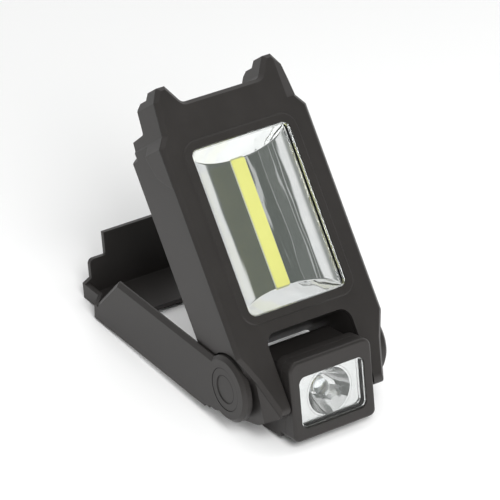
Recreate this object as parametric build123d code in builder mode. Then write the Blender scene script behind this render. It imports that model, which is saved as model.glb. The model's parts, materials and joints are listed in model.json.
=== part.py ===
from build123d import *
import os
from math import acos, asin, atan2, cos, degrees, hypot, pi, radians, sin, tan

os.makedirs("parts", exist_ok=True)

# A folding work light: a flat case with a long area light, a two-armed stand that wraps its
# back, and a square spot lamp hung between the case's two lower ears. Case, stand and lamp
# turn about one hinge axis. Sizes are in millimetres. Heights run up along a piece from the
# hinge axis, depths run forward from it, and halves run out from the middle.

# --- how it stands ---
case_open = 52.5             # case's long axis above the stand's base
lamp_open = 81.5             # lamp's front face above the stand's base

# --- case ---
case_width = 62.0
front_depth = 16.6           # front face in front of the hinge axis
parting_depth = 15.0         # joint between front cover and rear shell
back_depth = 11.3            # back of the shell behind the hinge axis
edge_bevel = 1.4
horn_height = 106.7
notch_depth = 7.2            # between the two horns
notch_inset = 14.8
notch_round = 2.6
horn_inner_inset = 10.3
horn_top_inset = 6.9
horn_side_inset = 4.1
horn_chamfer = 4.7
horn_round = 1.2
neck_inset = 2.8
neck_drop = 16.8             # below the horns' tops
shoulder_drop = 20.7
shoulder_round = 2.0
horn_bevel = 4.4             # wide facet between a horn's side and its face
waist_height = 8.0           # the full width ends here, above the ears
waist_round = 7.0
ear_height = -1.5
ear_side_inset = 4.3
ear_side_round = 9.0
ear_drop = 16.3              # lower end of the ears below the hinge axis
ear_front_taper = 4.8        # at the front the ears narrow more, and round more, than behind
ear_front_round = 9.0
ear_taper = 1.8
ear_round = 6.5
ear_spread = 0.4             # how fast an ear widens behind the parting line
ear_nose = 3.6               # its front corner, seen from the side
belly_depth = 3.0            # lowest point of the ears, seen from the side
belly_rise = 0.6
belly_round = 8.0
heel_rise_low = 9.5
heel_round = 7.0
back_round = 1.8
boss_clear = 0.5
gap_inset = 13.1             # an ear's thickness, from the case's side to the gap
gap_front_height = 12.9      # roof of the gap at the front face
gap_back_height = 10.4       # roof of the gap at the back
gap_round = 4.5
gap_flare = 1.5
wall = 1.9
case_fit = 0.15              # inner rim of the cover to the shell
rim_depth = 2.4
rim_thick = 1.3

# --- steps down the back of the case's top end ---
horn_step_depth = 8.6
horn_step = 2.3
horn_back_depth = 1.6
horn_back_chamfer = 1.6
ledge_below = 12.9           # below the horns' tops
ledge_fall = 0.8
ledge_depth = 7.5
ledge_drop = 4.6
back_top_below = 19.9

# --- area light ---
window_inset = 10.5
window_low = 20.3
window_below = 24.7          # window's upper end below the horns' tops
window_round = 2.6
window_fit = 0.2
bead_width = 3.4
bead_height = 0.5
lens_proud = 0.35
lens_bevel = 0.5
lens_flange = 1.4
lens_flange_thick = 0.8
tray_depth = 7.2             # front face down to the reflector's floor
tray_slope = 5.0
tray_side_round = 3.5
tray_wall = 0.8
tray_edge = 0.6              # reflector's mouth inside the window's edge
strip_inset = 6.85           # strip's ends from the window's
strip_width = 5.8
strip_thick = 0.5
strip_fit = 0.25
led_board_thick = 1.2
led_board_width = 16.0
led_board_lap = 2.5

# --- batteries, door and contacts ---
cell_radius = 5.25
cell_length = 44.5
cell_gap = 0.6
cell_clear = 0.3
contact_room = 1.8
contact_thick = 0.4
bay_low = 13.6
cell_nub = 1.0
cell_nub_radius = 1.9
contact_width = 7.0
contact_inset = 1.15         # leaf's edges inside the cell's
contact_lift = 1.0
contact_bend = 0.65          # share of the leaf's length that leans to the cell
hook_half = 9.0
hook_width = 5.0
hook_reach = 1.2
hook_thick = 1.0
hook_fit = 0.3
door_thick = 1.6
door_lap = 1.2
door_fit = 0.2
door_round = 1.5
door_bevel = 0.35
door_land = 3.6
door_screw_head = 1.6
door_screw_thick = 0.8
door_screw_web = 0.6
door_screw_grip = 5.0
bay_roof = 1.4

# --- push switch on the back ---
button_radius = 4.5
button_fit = 0.3
button_proud = 0.7
button_bevel = 0.5
button_flange = 1.0
button_flange_thick = 0.8
button_travel = 0.8
switch_size = 6.0
switch_thick = 3.4
switch_tip = 1.6
switch_stem = 1.7
switch_gap = 0.1
driver_thick = 1.2
driver_width = 31.0
driver_length = 17.0
driver_fit = 0.8
driver_post = 2.0
part_width = 5.0
part_length = 4.0
part_thick = 1.6

# --- screws ---
screw_radius = 1.05
shank_sides = 8
screw_head_radius = 2.3
screw_head_thick = 1.5
screw_sink = 0.5
screw_fit = 0.1              # pilot holes
shank_fit = 0.2              # clearance holes
head_fit = 0.15
pilot_room = 0.4             # pilot holes beyond the screws' ends
pillar_radius = 2.7
post_radius = 2.1
post_drop = 4.0
case_screw_inset = 6.6
case_screw_margin = 1.0      # screws' heights inside the window's ends

# --- stand ---
base_depth = 13.5            # base of the stand below the hinge axis when it lies flat
arm_thick = 2.0
side_clear = 0.3
arm_crest = 8.8
arm_chamfer = 1.4
arm_slant = 15.5             # how far the arm's slanted end falls back
arm_over = 0.5               # arm's end beyond the case's shoulder
arm_end_depth = 8.5
disc_radius = 12.4
disc_thick = 3.3
disc_chamfer = 1.3
plate_thick = 1.8
plate_length = 23.3
end_clear = 1.3              # end wall beyond the floor of the case's notch
end_lean = 8.0
end_thick = 1.9
lip_depth = 7.6
lip_inset = 4.3
step_inset = 7.3
step_crest = 1.2
step_round = 2.0
tab_clear = 0.5
tab_crest = 10.2
heel_length = 13.0
heel_step = 0.9
magnet_radius = 4.6
magnet_thick = 1.0
magnet_half = 13.0
magnet_from_end = 6.6
magnet_fit = 0.05
magnet_sink = 0.1

# --- hinge pins and caps ---
pin_radius = 4.0
pin_fit = 0.06
pin_press = 0.02
pin_end_room = 0.3
pin_lift = 0.05
pin_head_radius = 6.4
pin_head_thick = 0.7
pin_head_room = 0.3
pin_reach = 5.4
cap_radius = 8.0
cap_fit = 0.05
cap_sink = 0.1
cap_ring_radius = 5.1
cap_step = 0.25              # the middle of a cap lies lower than its rim
disc_web = 1.5

# --- spot lamp ---
lamp_side_clear = 0.5
lamp_face = 21.75
lamp_top = 12.5
lamp_drop = 18.3             # its underside below the hinge axis
lamp_top_fall = 0.7
lamp_block_back = 12.7
lamp_split = 16.4
lamp_barrel = 9.3
lamp_barrel_bevel = 2.2
lamp_heel_depth = 0.5        # lower back corner, which rests on the ground
lamp_heel_round = 3.0
lamp_round = 4.0
lamp_low_round = 2.4
lamp_edge = 0.9
lamp_window_inset = 3.75
lamp_window_height = 19.4
lamp_window_middle = -4.0
lamp_window_round = 2.6
lamp_window_fit = 0.15
lamp_lens_thick = 1.2
lamp_lens_sink = 0.5
lamp_lens_bevel = 0.3
lamp_lip = 1.4
lamp_cavity_inset = 4.0
lamp_cavity_reach = 9.3
lamp_ledge = 1.2
optic_radius = 9.5
optic_fit = 0.1
optic_wall = 0.8
optic_sides = 24
optic_base_radius = 3.6
optic_depth = 7.6
optic_rim = 1.2
lamp_board_thick = 1.2
lamp_board_size = 15.0
chip_size = 3.0
chip_thick = 0.8
chip_gap = 0.15

# --- values that follow ---
half = case_width / 2
notch_height = horn_height - notch_depth
notch_half = half - notch_inset
horn_inner_half = half - horn_inner_inset
neck_height = horn_height - neck_drop
shoulder_height = horn_height - shoulder_drop
ear_side = half - ear_side_inset
gap_half = half - gap_inset
ledge_height = horn_height - ledge_below
back_top_height = horn_height - back_top_below
window_width = case_width - 2 * window_inset
window_high = horn_height - window_below
arm_low_length = shoulder_height + arm_over
arm_top_length = arm_low_length - arm_slant
end_length = notch_height + end_clear
plate_near = end_length - plate_length
magnet_length = end_length - magnet_from_end
case_screw_half = half - case_screw_inset
case_screw_low = window_low - case_screw_margin
case_screw_high = window_high - case_screw_margin
lamp_width = 2 * (gap_half - lamp_side_clear)
lamp_window_width = lamp_width - 2 * lamp_window_inset
floor_half = half - arm_thick - side_clear      # case sides beside the stand's arms
boss_half = half - disc_thick - side_clear      # ear sides beside the stand's discs
window_middle = (window_low + window_high) / 2
window_length = window_high - window_low
bay_length = cell_length + 2 * contact_room
bay_high = bay_low + bay_length
cavity_low = gap_front_height + wall
cavity_high = notch_height - wall
bay_half = 3 * cell_radius + cell_gap + cell_clear
cell_depth = -back_depth + door_thick + cell_clear + cell_radius
bay_top = cell_depth + cell_radius + cell_clear
door_low = bay_low - door_lap
door_high = bay_high + door_land
cavity_floor = bay_top + bay_roof
strip_depth = front_depth - tray_depth
strip_length = window_length - 2 * strip_inset
tray_top = parting_depth - lens_flange_thick
base_edge_half = half - lip_inset
corner_half = base_edge_half - arm_thick - side_clear
corner_low = arm_low_length - side_clear
lamp_half = lamp_width / 2
lamp_cavity_half = lamp_half - lamp_cavity_inset
button_room = button_flange_thick + button_travel + switch_gap
driver_back = -back_depth + wall + button_room + switch_tip + switch_thick
driver_post_half = driver_width / 2 - 1.5 * driver_post
switch_low = door_high + driver_fit
switch_high = switch_low + driver_length + driver_fit
driver_middle = (switch_low + switch_high) / 2
button_height = switch_low + button_radius + button_flange + driver_fit
part_step = 0.3 * driver_width
part_shift = 0.2 * driver_length
contact_half = cell_radius - contact_inset
cell_pitch = 2 * cell_radius + cell_gap / 2
door_screw_height = (bay_high + door_high) / 2
optic_front = lamp_face - lamp_lip - lamp_lens_thick
lamp_board_seat = optic_front - optic_depth - chip_gap - chip_thick - lamp_board_thick
tab_half = notch_half + tab_clear
end_tan = tan(radians(end_lean))

# the light stands on the lamp's lower back corner and on the far edge of the stand's base,
# so its stand slopes up a little towards the hinge
heel_turn = atan2(-lamp_drop, lamp_heel_depth) - acos(lamp_barrel / hypot(lamp_heel_depth, lamp_drop))
heel_forward = lamp_heel_depth + lamp_heel_round * tan((-pi / 2 - heel_turn) / 2)
heel_up = lamp_heel_round - lamp_drop
heel_back = heel_up * cos(radians(lamp_open)) - heel_forward * sin(radians(lamp_open))
heel_rise = heel_up * sin(radians(lamp_open)) + heel_forward * cos(radians(lamp_open))
heel_span = hypot(end_length - heel_back, base_depth + heel_rise)
ground_slope = (atan2(-base_depth - heel_rise, end_length - heel_back)
                + asin(lamp_heel_round / heel_span))
stand_angle = -degrees(ground_slope)
case_angle = case_open + stand_angle
lamp_angle = lamp_open + stand_angle

# the origin lies on the ground below the middle of the light's length
hinge_z = end_length * sin(ground_slope) + base_depth * cos(ground_slope)
lamp_reach = (lamp_face * sin(radians(lamp_angle))
              + (lamp_drop - lamp_edge) * cos(radians(lamp_angle)))
tab_reach = end_length + (base_depth + tab_crest) * end_tan
stand_reach = tab_reach * cos(ground_slope) + tab_crest * sin(ground_slope)
hinge_y = (lamp_reach - stand_reach) / 2


def frame_at(angle):
    """Hinge frame of a piece: X along the axis, Y up the piece at this angle, Z forward."""
    turn = radians(angle)
    return Plane(origin=(0, hinge_y, hinge_z), x_dir=(1, 0, 0), z_dir=(0, -sin(turn), cos(turn)))


def across(frame, x=0.0):
    """Plane square to the hinge axis at x: its X runs forward and its Y up the piece."""
    return Plane(origin=frame.origin + frame.x_dir * x, x_dir=frame.z_dir, z_dir=-frame.x_dir)


def along(frame, height):
    """Plane square to a piece's long axis: its X runs to the right and its Y forward."""
    return Plane(origin=frame.origin + frame.y_dir * height, x_dir=frame.x_dir, z_dir=-frame.y_dir)


case = frame_at(case_angle)
stand = frame_at(stand_angle)
lamp = frame_at(lamp_angle)

# the stand's end wall leans outward; its plane faces back along the stand, Y up the wall
end_plane = Plane(
    origin=stand.origin + stand.y_dir * end_length - stand.z_dir * base_depth,
    x_dir=stand.x_dir,
    z_dir=stand.z_dir * sin(radians(end_lean)) - stand.y_dir * cos(radians(end_lean)),
)
end_lip = (base_depth - lip_depth) / cos(radians(end_lean))
end_step = (base_depth + step_crest) / cos(radians(end_lean))
end_tab = (base_depth + tab_crest) / cos(radians(end_lean))


def save(piece, name):
    piece.part.label = name
    export_step(piece.part, f"parts/{name}.step")


def case_face(taper, low_round):
    """Outline of the case from the front, with the ears joined."""
    with BuildSketch() as face:
        with BuildLine():
            Polyline(
                (0, notch_height), (notch_half, notch_height), (horn_inner_half, horn_height),
                (half - horn_top_inset, horn_height),
                (half - horn_side_inset, horn_height - horn_chamfer),
                (half - neck_inset, neck_height), (half, shoulder_height), (half, waist_height),
                (ear_side, ear_height), (ear_side - taper, -ear_drop), (0, -ear_drop),
            )
            mirror(about=Plane.YZ)
        make_face()
        corners = face.vertices()

        def at(x, height):
            return [v for v in corners if abs(abs(v.X) - x) < 0.01 and abs(v.Y - height) < 0.01]

        soft = [
            (at(notch_half, notch_height), notch_round), (at(horn_inner_half, horn_height), horn_round),
            (at(half - horn_top_inset, horn_height), horn_round),
            (at(half - neck_inset, neck_height), shoulder_round),
            (at(half, shoulder_height), shoulder_round), (at(half, waist_height), waist_round),
            (at(ear_side, ear_height), ear_side_round),
            (at(ear_side - taper, -ear_drop), low_round),
        ]
        for points, radius in soft:
            fillet(points, radius)
    return face.sketch


def gap_face(roof):
    """The space between the ears, flared where the ears' lower ends are rounded."""
    flare = gap_flare
    with BuildSketch() as face:
        with BuildLine():
            Polyline((0, roof), (gap_half - gap_round, roof))
            RadiusArc((gap_half - gap_round, roof), (gap_half, roof - gap_round), gap_round)
            Line((gap_half, roof - gap_round), (gap_half, -ear_drop + flare))
            RadiusArc((gap_half, -ear_drop + flare), (gap_half + flare, -ear_drop), -flare)
            Polyline((gap_half + flare, -ear_drop), (gap_half + flare, -ear_drop - 3),
                     (0, -ear_drop - 3))
            mirror(about=Plane.YZ)
        make_face()
    return face.sketch


def ear_corner():
    """What the rounded front corner of the ears' lower ends leaves out, from the side."""
    with BuildSketch() as face:
        with Locations((front_depth, -ear_drop)):
            Rectangle(2 * ear_nose, 2 * ear_nose)
        with Locations((front_depth - ear_nose, -ear_drop + ear_nose)):
            Circle(ear_nose, mode=Mode.SUBTRACT)
    return face.sketch


def ear_facets():
    """What the slanted outer sides of the ears leave out behind the parting line."""
    top = ear_height + 1.5
    with BuildPart() as space:
        for side in (1, -1):
            with BuildSketch(case.offset(parting_depth)):
                with Locations((side * half, (top - ear_drop - 1) / 2)):
                    Rectangle(2 * gap_half, top + ear_drop + 1)
                add(case_face(ear_front_taper, ear_front_round), mode=Mode.SUBTRACT)
            extrude(amount=parting_depth, dir=case.x_dir * side * ear_spread - case.z_dir)
    return space.part


def gap_space():
    """The gap between the ears, its roof sloping down to the back."""
    with BuildPart() as space:
        with BuildSketch(case.offset(front_depth)):
            add(gap_face(gap_front_height))
        with BuildSketch(case.offset(-back_depth)):
            add(gap_face(gap_back_height))
        loft()
    return space.part


def window_face(margin):
    """Rounded rectangle of the window, larger by margin on each side."""
    with BuildSketch() as face:
        with Locations((0, window_middle)):
            RectangleRounded(window_width + 2 * margin, window_length + 2 * margin,
                             window_round + max(margin, -window_round / 2))
    return face.sketch


def flange_face():
    """Square-cornered border that lies behind the window's edge."""
    with BuildSketch() as face:
        with Locations((0, window_middle)):
            Rectangle(window_width + 2 * lens_flange, window_length + 2 * lens_flange)
    return face.sketch


def screw_points():
    return [(side * case_screw_half, height) for side in (-1, 1)
            for height in (case_screw_low, case_screw_high)]


# ---------------------------------------------------------------- front cover
with BuildPart() as front_cover:
    with BuildSketch(case.offset(parting_depth)):
        add(case_face(ear_front_taper, ear_front_round))
    extrude(amount=front_depth - parting_depth)
    front_rim = front_cover.faces().sort_by(Axis(case.origin, case.z_dir))[-1].outer_wire()
    chamfer(front_rim.edges(), edge_bevel)
    # raised bead round the window
    with BuildSketch(case.offset(front_depth)):
        add(window_face(bead_width))
    extrude(amount=bead_height, taper=45)
    # inner rim that locates in the shell
    with BuildSketch(case.offset(parting_depth)):
        with Locations((0, (cavity_low + cavity_high) / 2)):
            Rectangle(2 * (floor_half - wall - case_fit), cavity_high - cavity_low - 2 * case_fit)
            Rectangle(2 * (floor_half - wall - case_fit - rim_thick),
                      cavity_high - cavity_low - 2 * (case_fit + rim_thick), mode=Mode.SUBTRACT)
    extrude(amount=-rim_depth)
    # wide facets down the outer sides of the horns
    with BuildSketch(along(case, horn_height + 1)):
        with BuildLine():
            outer = half - neck_inset
            Polyline((outer, parting_depth), (outer + 4, parting_depth), (outer + 4, front_depth + 1),
                     (outer - horn_bevel, front_depth + 1), (outer - horn_bevel, front_depth),
                     (outer, parting_depth))
            mirror(about=Plane.YZ)
        make_face()
    extrude(amount=horn_height + 1 - neck_height, mode=Mode.SUBTRACT)
    with BuildSketch(across(case, half)):
        add(ear_corner())
    extrude(amount=case_width, mode=Mode.SUBTRACT)
    add(gap_space(), mode=Mode.SUBTRACT)
    # window through the face and the rim
    with BuildSketch(case.offset(parting_depth - rim_depth - 2)):
        add(window_face(window_fit))
    extrude(amount=rim_depth + front_depth, mode=Mode.SUBTRACT)
    # posts for the case screws, with their pilot holes
    with BuildSketch(case.offset(parting_depth - post_drop)):
        with Locations(*screw_points()):
            RegularPolygon(post_radius, shank_sides)
    extrude(amount=post_drop)
    with BuildSketch(case.offset(parting_depth - post_drop)):
        with Locations(*screw_points()):
            RegularPolygon(screw_radius + screw_fit, shank_sides)
    extrude(amount=post_drop + pilot_room, mode=Mode.SUBTRACT)
save(front_cover, "front_cover")


# ----------------------------------------------------------------- rear shell
def case_side():
    """Side of the rear shell: rounded ears, flat back and a stepped top end."""
    belly = (belly_depth, -ear_drop + belly_rise)
    heel = (-back_depth, -heel_rise_low)
    inner = (horn_back_depth, ledge_height)
    lip = (-ledge_depth, ledge_height - ledge_fall)
    with BuildSketch() as face:
        with BuildLine():
            Polyline(
                (parting_depth, -ear_drop), belly, heel, (-back_depth, back_top_height),
                (-ledge_depth, ledge_height - ledge_drop), lip, inner,
                (horn_back_depth, horn_height - horn_step - horn_back_chamfer),
                (horn_back_depth + horn_back_chamfer, horn_height - horn_step),
                (horn_step_depth - 0.7, horn_height - horn_step), (horn_step_depth, horn_height + 1),
                (parting_depth, horn_height + 1), close=True,
            )
        make_face()

        def at(point):
            return face.vertices().sort_by_distance(Vector(*point))[0]

        for point, radius in ((belly, belly_round), (heel, heel_round), (inner, 1.0), (lip, 0.6)):
            fillet(at(point), radius)
    return face.sketch


def arm_pocket():
    """Side of the case's relief for a stand arm, clear of the arm's slanted end."""
    with BuildSketch() as face:
        with BuildLine():
            Polyline(
                (parting_depth, -ear_drop - 1), (parting_depth, arm_top_length + 0.3),
                (arm_crest + 3.0, arm_top_length + 2.0), (arm_crest - 2.5, arm_top_length + 6.4),
                (arm_crest - 5.3, arm_low_length - 1.6), (arm_crest - 5.3, shoulder_height + 6.0),
                (-back_depth - 1, shoulder_height + 6.0), (-back_depth - 1, -ear_drop - 1), close=True,
            )
        make_face()
    return face.sketch


with BuildPart() as rear_shell:
    with BuildSketch(case.offset(-back_depth)):
        add(case_face(ear_taper, ear_round))
    extrude(amount=back_depth + parting_depth)
    with BuildSketch(across(case, half)):
        add(case_side())
    extrude(amount=case_width, mode=Mode.INTERSECT)
    add(ear_facets(), mode=Mode.SUBTRACT)
    # reliefs for the stand's arms and for its round bosses
    for side in (1, -1):
        with BuildSketch(across(case, side * half)):
            add(arm_pocket())
        extrude(amount=side * (half - floor_half), mode=Mode.SUBTRACT)
        with BuildSketch(across(case, side * half)):
            Circle(disc_radius + boss_clear)
        extrude(amount=side * (half - boss_half), mode=Mode.SUBTRACT)
    # upper corners of the back, cut to the outline of the stand's base
    with BuildSketch(case.offset(-back_depth)):
        with BuildLine():
            Polyline((half + 1, corner_low), (floor_half, corner_low),
                     (corner_half, corner_low + floor_half - corner_half), (corner_half, horn_height),
                     (half + 1, horn_height), close=True)
        make_face()
        mirror(about=Plane.YZ)
    extrude(amount=back_depth - lip_depth + side_clear, mode=Mode.SUBTRACT)
    # rounded corners down both sides of the back
    with BuildSketch(along(case, horn_height + 1)):
        with BuildLine():
            turn = (floor_half - back_round, -back_depth + back_round)
            ThreePointArc((floor_half, turn[1]), (turn[0] + back_round * cos(radians(45)),
                          turn[1] - back_round * sin(radians(45))), (turn[0], -back_depth))
            Polyline((turn[0], -back_depth), (turn[0], -back_depth - 1), (half + 1, -back_depth - 1),
                     (half + 1, turn[1]), (floor_half, turn[1]))
            mirror(about=Plane.YZ)
        make_face()
    extrude(amount=horn_height + ear_drop + 2, mode=Mode.SUBTRACT)
    with BuildSketch(across(case, half)):
        add(ear_corner())
    extrude(amount=case_width, mode=Mode.SUBTRACT)
    add(gap_space(), mode=Mode.SUBTRACT)
    # room for the area light
    with BuildSketch(case.offset(cavity_floor)):
        with Locations((0, (cavity_low + cavity_high) / 2)):
            Rectangle(2 * (floor_half - wall), cavity_high - cavity_low)
    extrude(amount=parting_depth - cavity_floor, mode=Mode.SUBTRACT)
    # pillars that meet the cover's posts
    with BuildSketch(case.offset(cavity_floor - 0.5)):
        with Locations(*screw_points()):
            RegularPolygon(pillar_radius, shank_sides)
    extrude(amount=parting_depth - post_drop - cavity_floor + 0.5)
    # battery bay and the seat of its door
    with BuildSketch(case.offset(-back_depth)):
        with Locations((0, (bay_low + bay_high) / 2)):
            Rectangle(2 * bay_half, bay_length)
    extrude(amount=back_depth + bay_top, mode=Mode.SUBTRACT)
    with BuildSketch(case.offset(-back_depth)):
        with Locations((0, (door_low + door_high) / 2)):
            RectangleRounded(2 * (bay_half + door_lap), door_high - door_low, door_round)
    extrude(amount=door_thick, mode=Mode.SUBTRACT)
    with BuildSketch(case.offset(-back_depth + door_thick)):
        with Locations((-hook_half, bay_low), (hook_half, bay_low)):
            Rectangle(hook_width + 2 * hook_fit, 2 * (hook_reach + hook_fit))
    extrude(amount=hook_thick + hook_fit, mode=Mode.SUBTRACT)
    # room for the switch behind the button
    with BuildSketch(case.offset(-back_depth + wall)):
        with Locations((0, (switch_low + switch_high) / 2)):
            Rectangle(driver_width + 2 * driver_fit, switch_high - switch_low)
    extrude(amount=back_depth - wall + cavity_floor, mode=Mode.SUBTRACT)
    with BuildSketch(case.offset(-back_depth)):
        with Locations((0, button_height)):
            Circle(button_radius + button_fit)
    extrude(amount=wall, mode=Mode.SUBTRACT)
    with BuildSketch(case.offset(-back_depth + wall)):
        with Locations((-driver_post_half, button_height), (driver_post_half, button_height)):
            RegularPolygon(driver_post, shank_sides)
    extrude(amount=driver_back + back_depth - wall)
    # screw seats
    with BuildSketch(case.offset(-back_depth)):
        with Locations(*screw_points()):
            Circle(screw_head_radius + head_fit)
    extrude(amount=screw_sink + screw_head_thick, mode=Mode.SUBTRACT)
    with BuildSketch(case.offset(-back_depth)):
        with Locations(*screw_points()):
            RegularPolygon(screw_radius + shank_fit, shank_sides)
    extrude(amount=back_depth + parting_depth - post_drop, mode=Mode.SUBTRACT)
    with BuildSketch(case.offset(-back_depth + door_thick)):
        with Locations((0, door_screw_height)):
            RegularPolygon(screw_radius + screw_fit, shank_sides)
    extrude(amount=door_screw_grip + pilot_room, mode=Mode.SUBTRACT)
    # bores for the hinge pins
    for side in (1, -1):
        with BuildSketch(across(case, side * half)):
            Circle(pin_radius + pin_press)
        extrude(amount=side * (half - gap_half + 1), mode=Mode.SUBTRACT)
save(rear_shell, "rear_shell")

# ----------------------------------------------------------------- area light
with BuildPart() as area_lens:
    with BuildSketch(case.offset(parting_depth)):
        add(window_face(0))
    extrude(amount=front_depth - parting_depth + lens_proud)
    lens_rim = area_lens.faces().sort_by(Axis(case.origin, case.z_dir))[-1].outer_wire()
    chamfer(lens_rim.edges(), lens_bevel)
    with BuildSketch(case.offset(parting_depth)):
        add(flange_face())
    extrude(amount=-lens_flange_thick)
save(area_lens, "area_lens")


def trough_end(grow):
    """Section of the reflector's trough: a wide shallow arc that turns up tightly at its sides."""
    reach = window_width / 2 - tray_edge + grow
    deep = tray_top - strip_depth + grow
    turn = tray_side_round + grow
    flat = ((reach - turn) ** 2 + deep ** 2 - turn ** 2) / (2 * (deep - turn))
    fall = atan2(deep - flat, reach - turn)
    meet = (flat * cos(fall), tray_top + flat - deep + flat * sin(fall))
    with BuildSketch() as face:
        with BuildLine():
            Polyline((0, tray_top + turn), (reach, tray_top + turn), (reach, tray_top))
            ThreePointArc((reach, tray_top), (reach - turn + turn * cos(fall / 2),
                          tray_top + turn * sin(fall / 2)), meet)
            ThreePointArc(meet, (flat * cos((fall - pi / 2) / 2), tray_top + flat - deep
                          + flat * sin((fall - pi / 2) / 2)), (0, tray_top - deep))
            mirror(about=Plane.YZ)
        make_face()
    return face.sketch


def trough(grow):
    """Space in the reflector, larger by grow, with ends that lean out."""
    lean = tray_slope / (tray_top - strip_depth)
    with BuildPart() as space:
        with BuildSketch(along(case, window_low)):
            add(trough_end(grow))
        extrude(amount=-window_length)
        with BuildSketch(across(case, half)):
            with BuildLine():
                low = window_low + tray_edge - grow
                high = window_high - tray_edge + grow
                floor = strip_depth - grow
                Polyline((tray_top, low), (tray_top, high), (floor, high - tray_slope - grow * lean),
                         (floor, low + tray_slope + grow * lean), close=True)
            make_face()
        extrude(amount=case_width, mode=Mode.INTERSECT)
    return space.part


with BuildPart() as area_reflector:
    with BuildSketch(case.offset(tray_top)):
        add(flange_face())
    extrude(amount=-tray_wall)
    add(trough(tray_wall))
    # flat back against the board of the strip
    with BuildSketch(case.offset(strip_depth - tray_wall)):
        with Locations((0, window_middle)):
            Rectangle(led_board_width, strip_length)
    extrude(amount=2 * tray_wall)
    add(trough(0), mode=Mode.SUBTRACT)
    with BuildSketch(case.offset(strip_depth)):
        with Locations((0, window_middle)):
            Rectangle(strip_width + 2 * strip_fit, strip_length + 2 * strip_fit)
    extrude(amount=2 * tray_wall, both=True, mode=Mode.SUBTRACT)
save(area_reflector, "area_reflector")

with BuildPart() as led_board:
    with BuildSketch(case.offset(strip_depth - tray_wall)):
        with Locations((0, window_middle)):
            Rectangle(led_board_width, strip_length + 2 * led_board_lap)
    extrude(amount=-led_board_thick)
save(led_board, "led_board")

with BuildPart() as led_strip:
    with BuildSketch(case.offset(strip_depth - tray_wall)):
        with Locations((0, window_middle)):
            Rectangle(strip_width, strip_length)
    extrude(amount=tray_wall + strip_thick)
save(led_strip, "led_strip")

# ------------------------------------------------------- switch and its board
with BuildPart() as driver_board:
    with BuildSketch(case.offset(driver_back)):
        with Locations((0, driver_middle)):
            Rectangle(driver_width, driver_length)
    extrude(amount=driver_thick)
    with BuildSketch(case.offset(driver_back + driver_thick)):
        with Locations((-part_step, driver_middle + part_shift), (0, driver_middle - part_shift),
                       (part_step, driver_middle)):
            Rectangle(part_width, part_length)
    extrude(amount=part_thick)
save(driver_board, "driver_board")

with BuildPart() as push_switch:
    with BuildSketch(case.offset(driver_back)):
        with Locations((0, button_height)):
            Rectangle(switch_size, switch_size)
    extrude(amount=-switch_thick)
    with BuildSketch(case.offset(driver_back - switch_thick)):
        with Locations((0, button_height)):
            Circle(switch_stem)
    extrude(amount=-switch_tip)
save(push_switch, "push_switch")

with BuildPart() as push_button:
    with BuildSketch(case.offset(-back_depth - button_proud)):
        with Locations((0, button_height)):
            Circle(button_radius)
    extrude(amount=button_proud + wall)
    button_rim = push_button.edges().filter_by(GeomType.CIRCLE).sort_by(Axis(case.origin, case.z_dir))
    chamfer(button_rim[0], button_bevel)
    with BuildSketch(case.offset(-back_depth + wall)):
        with Locations((0, button_height)):
            Circle(button_radius + button_flange)
    extrude(amount=button_flange_thick)
save(push_button, "push_button")

# --------------------------------------------------------- batteries and door
for index, name in enumerate(("cell_left", "cell_middle", "cell_right")):
    side = index - 1
    up = 1 if side == 0 else -1
    foot = (bay_low + bay_high) / 2 - up * cell_length / 2
    with BuildPart() as cell:
        with BuildSketch(along(case, foot)):
            with Locations((side * cell_pitch, cell_depth)):
                Circle(cell_radius)
        extrude(amount=-up * (cell_length - cell_nub))
        with BuildSketch(along(case, foot + up * (cell_length - cell_nub))):
            with Locations((side * cell_pitch, cell_depth)):
                RegularPolygon(cell_nub_radius, shank_sides)
        extrude(amount=-up * cell_nub)
    save(cell, name)


def contact(left, right, low_end):
    """Bent leaf contact from cell position left to right, at one end of the bay."""
    end = bay_low if low_end else bay_high
    turn = 1 if low_end else -1
    with BuildPart() as leaf:
        with BuildSketch(across(case, right * cell_pitch + contact_width / 2)):
            with BuildLine():
                Polyline(
                    (cell_depth - contact_half, end + turn * contact_thick / 2),
                    (cell_depth + contact_half, end + turn * contact_thick / 2),
                    (cell_depth + contact_half, end + turn * contact_lift),
                    (cell_depth - contact_half * contact_bend,
                     end + turn * (contact_room - contact_thick / 2)),
                )
            trace(line_width=contact_thick)
        extrude(amount=(right - left) * cell_pitch + contact_width)
    return leaf


save(contact(-1, 0, True), "contact_low_pair")
save(contact(1, 1, True), "contact_low_single")
save(contact(0, 1, False), "contact_high_pair")
save(contact(-1, -1, False), "contact_high_single")

with BuildPart() as battery_door:
    with BuildSketch(case.offset(-back_depth)):
        with Locations((0, (door_low + door_high) / 2)):
            RectangleRounded(2 * (bay_half + door_lap - door_fit),
                             door_high - door_low - 2 * door_fit, door_round - door_fit)
    extrude(amount=door_thick)
    door_rim = battery_door.faces().sort_by(Axis(case.origin, case.z_dir))[0].outer_wire()
    chamfer(door_rim.edges(), door_bevel)
    with BuildSketch(case.offset(-back_depth + door_thick)):
        with Locations((-hook_half, bay_low), (hook_half, bay_low)):
            Rectangle(hook_width, 2 * hook_reach)
    extrude(amount=hook_thick)
    with BuildSketch(case.offset(-back_depth)):
        with Locations((0, door_screw_height)):
            RegularPolygon(screw_radius + shank_fit, shank_sides)
    extrude(amount=door_thick, mode=Mode.SUBTRACT)
    with BuildSketch(case.offset(-back_depth)):
        with Locations((0, door_screw_height)):
            Circle(door_screw_head + head_fit)
    extrude(amount=door_thick - door_screw_web, mode=Mode.SUBTRACT)
save(battery_door, "battery_door")


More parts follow.
